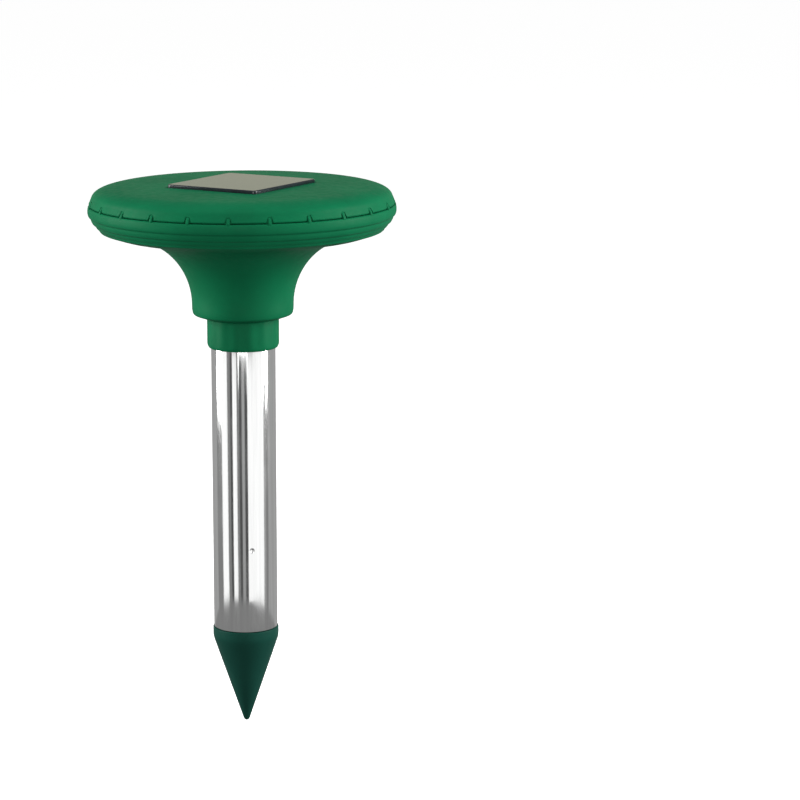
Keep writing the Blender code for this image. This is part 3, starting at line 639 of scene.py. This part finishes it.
def make_collar():
    shoulder = 207.0
    corners = [
        (16.3, COLLAR_FOOT, 0.2),
        (16.95, COLLAR_FOOT, 0.4),
        (COLLAR_R - 0.2, COLLAR_FOOT + 1.2, 0.8),
        (COLLAR_R, COLLAR_FOOT + 2.6, 0.8),
        (COLLAR_R, shoulder, 0.3),
        (17.5, shoulder + 0.3, 0.1),
        (17.5, 213.4, 0.2),
        (17.0, 213.9, 0.1),
        (17.0, 215.0, 0.1),
        (15.3, 215.0, 0.1),
        (15.3, 217.8, 0.1),
        (17.0, 217.8, 0.1),
        (17.0, NECK_TOP, 0.5),
        (13.0, NECK_TOP, 0.2),
        (13.0, TUBE_TOP + 0.3, 0.1),
        (16.3, TUBE_TOP + 0.3, 0.1),
    ]
    pitch = 360.0 / FLUTES

    def flute(radius, height, angle):
        """Shallow, soft hollows."""
        if radius < COLLAR_R - 0.3 or height > shoulder + 0.1:
            return radius, height, angle
        phase = ((angle - FIRST_FLUTE) / pitch + 0.5) % 1.0 - 0.5
        depth = FLUTE_DEPTH * (0.5 + 0.5 * math.cos(math.tau * phase))
        depth *= smoothstep((height - COLLAR_FOOT - 0.6) / 2.2)
        return radius - depth, height, angle

    collar = lathe_mesh(filleted(corners, 3), [a + FIRST_FLUTE for a in even_angles(FLUTES * 20)], flute)
    for start in range(4):
        add_thread_lug(collar, start * 90.0)
    finish_mesh("collar_sleeve", collar, "green_plastic", "stake", ["collar"])


THREAD_LEAD = 24.0
LUG_START = 209.2
LUG_ARC = 52.0
LUG_SECTION = ((17.3, -0.75), (18.9, -0.5), (18.9, 0.5), (17.3, 0.75))


def add_thread_lug(edit, start, steps=28):
    """One start of the quick thread: a rib that climbs round the collar's neck and tapers at both ends."""
    rings = []
    for step in range(steps + 1):
        turn = LUG_ARC * step / steps
        fade = min(1.0, 6.0 * step / steps, 6.0 * (steps - step) / steps)
        lift = LUG_START + THREAD_LEAD * turn / 360.0
        section = [(r if r < 18.0 else 17.45 + (r - 17.45) * fade, z) for r, z in LUG_SECTION]
        rings.append([edit.verts.new(polar(r, start + turn, lift + z)) for r, z in section])
    for low, high in zip(rings, rings[1:]):
        for index in range(4):
            edit.faces.new((low[index], low[(index + 1) % 4], high[(index + 1) % 4], high[index]))
    edit.faces.new(rings[0])
    edit.faces.new(rings[-1][::-1])


# ---------------------------------------------------------------- tube and spike
DIMPLE_R = 1.35
DIMPLE_DEPTH = 0.7


def make_tube():
    dense = [DIMPLE_ANGLE + 0.55 * step for step in range(-12, 13)]
    coarse = [a for a in even_angles(180) if abs((a - DIMPLE_ANGLE + 180.0) % 360.0 - 180.0) > 7.2]
    angles = sorted(a % 360.0 for a in coarse + dense)
    inner = TUBE_R - TUBE_WALL
    rows = [DIMPLE_HEIGHT + 0.2 * step for step in range(-10, 11)]
    corners = filleted([(TUBE_R, TUBE_FOOT, 0.3), (TUBE_R, TUBE_TOP, 0.3), (inner, TUBE_TOP, 0.3),
                        (inner, TUBE_FOOT, 0.3)], 3)
    outer, rest = corners[:4], corners[4:]
    outline = outer + [(TUBE_R, height) for height in rows] + rest

    def dimple(radius, height, angle):
        if radius < TUBE_R - 0.01:
            return radius, height, angle
        around = ((angle - DIMPLE_ANGLE + 180.0) % 360.0 - 180.0) * math.radians(TUBE_R)
        away = math.hypot(around, height - DIMPLE_HEIGHT) / DIMPLE_R
        return radius - DIMPLE_DEPTH * (1.0 - smoothstep(away)), height, angle

    finish_mesh("tube_sleeve", lathe_mesh(outline, angles, dimple), "polished_aluminium", "stake",
                ["tube"])


def make_spike():
    rim = TUBE_FOOT - 0.3
    tip_r, half_angle = 1.6, 18.8
    tip = arc((0.0, tip_r), tip_r, -90.0, -half_angle, 8)
    outside = filleted([
        (*tip[-1], 0.0),
        (15.45, 41.6, 1.6),
        (16.3, 44.3, 0.9),
        (16.5, 45.6, 0.6),
        (16.5, rim, 0.35),
        (14.6, rim, 0.0),
        (14.6, 53.5, 0.1),
        (12.9, 53.5, 0.1),
        (12.9, 56.1, 0.1),
        (14.6, 56.1, 0.1),
        (14.6, DIMPLE_HEIGHT - 1.8, 0.1),
        (13.6, DIMPLE_HEIGHT - 1.2, 0.1),
        (13.6, DIMPLE_HEIGHT + 1.2, 0.1),
        (14.6, DIMPLE_HEIGHT + 1.8, 0.1),
        (13.8, SPIKE_TOP, 0.2),
        (11.6, SPIKE_TOP, 0.2),
        (10.6, 48.0, 3.0),
        (0.5, 17.2, 0.0),
    ])
    outline = [(0.0, 0.0)] + tip[1:-1] + outside + [(0.0, 17.0)]
    finish_mesh("spike_cone", lathe_mesh(outline, even_angles(128)), "dark_green_plastic", "stake",
                ["spike"])


# ---------------------------------------------------------------- small visible pieces
def make_rings():
    gasket = filleted([(71.8, LEDGE + 0.3, 0.1), (73.0, LEDGE + 0.3, 0.2), (73.0, LEDGE + 0.8, 0.2),
                       (71.8, LEDGE + 0.8, 0.1)], 2)
    finish_mesh("rim_gasket_ring", lathe_mesh(gasket, even_angles(160)), "black_rubber", "head",
                ["rim_gasket"])
    seal_height = height_of(sum(corner.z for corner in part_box("neck_seal")) / 2)
    seal = arc((16.5, seal_height), 1.0, 0.0, 337.5, 15)
    finish_mesh("neck_seal_ring", lathe_mesh(seal, even_angles(96)), "black_rubber", "seal_ring",
                ["neck_seal"])


def make_button():
    """The boot of the power switch: a soft dome in a ring, with a small pip that the thumb finds."""
    foot = foot_of("power_button")
    flange = 251.8
    outline = [(0.0, foot)] + filleted([
        (0.6, foot, 0.2),
        (1.0, foot + 0.35, 0.2),
        (2.2, foot + 0.5, 0.6),
        (3.6, foot + 1.2, 0.8),
        (4.0, foot + 2.4, 0.5),
        (4.0, flange, 0.1),
        (6.2, flange, 0.1),
        (6.2, flange + 0.8, 0.1),
        (1.6, flange + 0.8, 0.1),
        (1.6, top_of("power_button"), 0.3),
        (0.2, top_of("power_button"), 0.0),
    ], 4) + [(0.0, top_of("power_button"))]
    boot = lathe_mesh(outline, even_angles(64))
    bmesh.ops.translate(boot, verts=boot.verts, vec=(*BUTTON_AT, 0.0))
    finish_mesh("button_boot", boot, "black_rubber", "button", ["power_button"])
    section = filleted([(4.3, 249.0, 0.15), (4.9, 249.0, 0.15), (4.9, 251.1, 0.1), (4.3, 251.1, 0.1)], 2)
    ring = lathe_mesh(section, even_angles(64))
    bmesh.ops.translate(ring, verts=ring.verts, vec=(*BUTTON_AT, 0.0))
    finish_mesh("button_ring", ring, "black_rubber", "head", ["button_seal"])


def make_cap_screws():
    """Pan heads with a cross recess, seen in the counterbores from below."""
    for number, angle in enumerate(CAP_SCREW_ANGLES, 1):
        node = f"cap_screw_{number}"
        face, end = foot_of(node), top_of(node)
        seat = face + 1.9
        outline = [(0.0, face)] + filleted([
            (1.6, face + 0.05, 0.5),
            (2.6, face + 0.7, 0.6),
            (2.8, seat, 0.2),
            (1.4, seat, 0.1),
            (1.4, end - 1.0, 0.2),
            (0.1, end, 0.0),
        ], 3) + [(0.0, end)]
        body = lathe_mesh(outline, even_angles(40))
        bmesh.ops.translate(body, verts=body.verts, vec=polar(CAP_SCREW_R, angle))
        screw = finish_mesh(f"cap_screw_head_{number}", body, "zinc_steel", "head", [node])
        for turn in (20.0, 110.0):
            spin = Matrix.Rotation(math.radians(turn), 4, "Z")
            place = Matrix.Translation(polar(CAP_SCREW_R, angle)) @ spin
            slot = bmesh.new()
            add_box(slot, (-1.5, -0.35, face - 1.0), (1.5, 0.35, face + 1.1), place)
            cut(screw, slot, "cross_recess")


# ---------------------------------------------------------------- studio
def plain_look(name, colour, roughness=0.9, glow=0.0):
    look = Look(name, colour, roughness)
    look.put("Emission Color", (*colour, 1.0))
    look.put("Emission Strength", glow)
    return look


FLOOR_SIZE = 24.0
FLOOR_GLOW = 0.84  # a light table, so that the floor is as white as the backdrop


def stage_piece(name, edit, look):
    """A piece of the studio, in metres."""
    mesh = bpy.data.meshes.new(name)
    edit.to_mesh(mesh)
    edit.free()
    mesh.materials.append(look.made)
    piece = bpy.data.objects.new(name, mesh)
    bpy.context.scene.collection.objects.link(piece)
    return piece


def make_floor():
    """The floor is seen by the camera, and by nothing in gloss or diffuse light."""
    edit = bmesh.new()
    bmesh.ops.create_grid(edit, x_segments=1, y_segments=1, size=FLOOR_SIZE / 2)
    look = plain_look("floor_paint", (0.93, 0.93, 0.93), glow=FLOOR_GLOW)
    look.bump(look.noise(2.0, 3.0), 0.01)
    floor = stage_piece("floor", edit, look)
    floor.location.z = cad_low.z
    floor.visible_diffuse = False
    floor.visible_glossy = False


# A photographer's cards stand round the repeller, and only gloss sees them. White panels with dark gaps
# between them give the polished tube its streaks. Azimuths are from the front, to the right.
CARD_RADIUS = 0.42
CARD_STEP = 0.004
CARD_TOP = 0.02
CARD_FOOT = -0.25
WHITE, GREY, DARK = 1.1, 0.35, 0.08
CARDS = (
    (-140.0, 60.0, GREY),
    (-70.0, 25.0, WHITE),
    (-42.0, 8.0, DARK),
    (-30.0, 15.0, WHITE),
    (0.0, 28.0, DARK),
    (0.0, 10.0, GREY),
    (45.0, 60.0, WHITE),
    (80.0, 8.0, GREY),
    (135.0, 80.0, GREY),
)


def reflected_only(piece):
    """Leaves a piece of studio visible in gloss and nowhere else."""
    for ray in ("camera", "diffuse", "transmission", "volume_scatter", "shadow"):
        setattr(piece, f"visible_{ray}", False)


def glowing_look(name, colour):
    look = Look(name, (0.0, 0.0, 0.0), 1.0, Specular_IOR_Level=0.0, Emission_Strength=1.0)
    look.put("Emission Color", (*colour, 1.0))
    return look


def make_cards():
    """Upright curved cards, each given by its middle, its width in degrees and its brightness. A later
    card stands a little closer in, so it covers an earlier one."""
    for index, (middle, width, glow) in enumerate(CARDS):
        radius = CARD_RADIUS - CARD_STEP * index
        steps = max(2, round(width / 4.0))
        turns = [FRONT + middle + width * (step / steps - 0.5) for step in range(steps + 1)]
        edit = bmesh.new()
        top, foot = [[edit.verts.new(polar(radius, turn, height)) for turn in turns]
                     for height in (CARD_TOP, CARD_FOOT)]
        for corners in zip(top, top[1:], foot[1:], foot):
            edit.faces.new(corners)
        name = f"card_{index}"
        reflected_only(stage_piece(name, edit, glowing_look(name, (glow, glow, glow))))


HORIZON_GLOW = (0.62, 0.63, 0.49)
HORIZON_DISTANCE = 0.9
HORIZON_HEIGHT = 0.225  # of its middle, in the frame
HORIZON_SIZE = (1.5, 0.16)


def make_horizon_card():
    """A low card behind the repeller, which the flat top of the solar panel mirrors."""
    edit = bmesh.new()
    bmesh.ops.create_grid(edit, x_segments=1, y_segments=1, size=0.5)
    bmesh.ops.scale(edit, verts=edit.verts, vec=(*HORIZON_SIZE, 1.0))
    card = stage_piece("horizon_card", edit, glowing_look("horizon_paint", HORIZON_GLOW))
    card.location = polar(HORIZON_DISTANCE, FRONT + 180.0 + VIEWER_AZIMUTH, HORIZON_HEIGHT)
    card.rotation_euler = (math.radians(90.0), 0.0, math.radians(VIEWER_AZIMUTH))
    reflected_only(card)


SOFTBOX_AIM = 0.06  # height in the frame


def add_softbox(name, azimuth, elevation, distance, size, power):
    """An area light that faces the head. Azimuth is from the front, to the right."""
    light = bpy.data.lights.new(name, "AREA")
    light.shape = "RECTANGLE"
    light.size, light.size_y = size
    light.energy = power
    lamp = bpy.data.objects.new(name, light)
    target = Vector((0.0, 0.0, SOFTBOX_AIM))
    level = math.cos(math.radians(elevation)) * distance
    lamp.location = target + polar(level, FRONT + azimuth, math.sin(math.radians(elevation)) * distance)
    lamp.rotation_euler = (target - lamp.location).to_track_quat("-Z", "Y").to_euler()
    lamp.visible_camera = False
    bpy.context.scene.collection.objects.link(lamp)


WORLD_LIGHT = 0.22
BACKDROP_GLOW = 1.05


def make_world():
    """Soft light from all round, which the camera sees as a plain white backdrop."""
    world = bpy.data.worlds.new("studio")
    world.use_nodes = True
    nodes, links = world.node_tree.nodes, world.node_tree.links
    light = nodes["Background"]
    light.inputs["Color"].default_value = (1.0, 1.0, 1.0, 1.0)
    light.inputs["Strength"].default_value = WORLD_LIGHT
    backdrop = nodes.new("ShaderNodeBackground")
    backdrop.inputs["Color"].default_value = (1.0, 1.0, 1.0, 1.0)
    backdrop.inputs["Strength"].default_value = BACKDROP_GLOW
    choose = nodes.new("ShaderNodeMixShader")
    links.new(nodes.new("ShaderNodeLightPath").outputs["Is Camera Ray"], choose.inputs["Fac"])
    links.new(light.outputs["Background"], choose.inputs[1])
    links.new(backdrop.outputs["Background"], choose.inputs[2])
    links.new(choose.outputs["Shader"], nodes["World Output"].inputs["Surface"])
    bpy.context.scene.world = world


LENS = 138.2  # focal length, for a sensor 36 wide
VIEWER_AZIMUTH = 3.0  # of the viewer, from the front to the right
VIEWER_DISTANCE = 1.5
VIEWER_HEIGHT = 0.4614  # above the spike's tip
LOOKING_DOWN = 11.16
CAMERA_ROLL = -0.55
CAMERA_SHIFT = 0.1953  # the repeller stands left of the middle, seen straight on


def make_camera():
    data = bpy.data.cameras.new("camera")
    data.lens = LENS
    data.sensor_width = 36.0
    data.shift_x = CAMERA_SHIFT
    camera = bpy.data.objects.new("camera", data)
    around = Matrix.Rotation(math.radians(VIEWER_AZIMUTH), 4, "Z")
    stand = Matrix.Translation((0.0, -VIEWER_DISTANCE, cad_low.z + VIEWER_HEIGHT))
    tilt = Matrix.Rotation(math.radians(90.0 - LOOKING_DOWN), 4, "X")
    camera.matrix_world = around @ stand @ tilt @ Matrix.Rotation(math.radians(CAMERA_ROLL), 4, "Z")
    bpy.context.scene.collection.objects.link(camera)
    bpy.context.scene.camera = camera


def make_studio():
    make_camera()
    make_world()
    make_floor()
    make_cards()
    make_horizon_card()
    add_softbox("right_softbox", 88.0, 14.0, 1.1, (0.6, 0.9), 15.0)
    add_softbox("left_softbox", -92.0, 12.0, 1.1, (0.6, 0.9), 13.5)
    add_softbox("overhead_softbox", -10.0, 80.0, 1.2, (1.0, 1.0), 3.9)
    add_softbox("front_fill", 0.0, 12.0, 1.3, (0.8, 0.8), 5.0)
    bpy.context.scene.view_settings.view_transform = "Standard"


dress_cad_nodes()
make_cap()
make_housing()
make_rim_ribs()
make_panel()
make_collar()
make_tube()
make_spike()
make_rings()
make_button()
make_cap_screws()
make_studio()
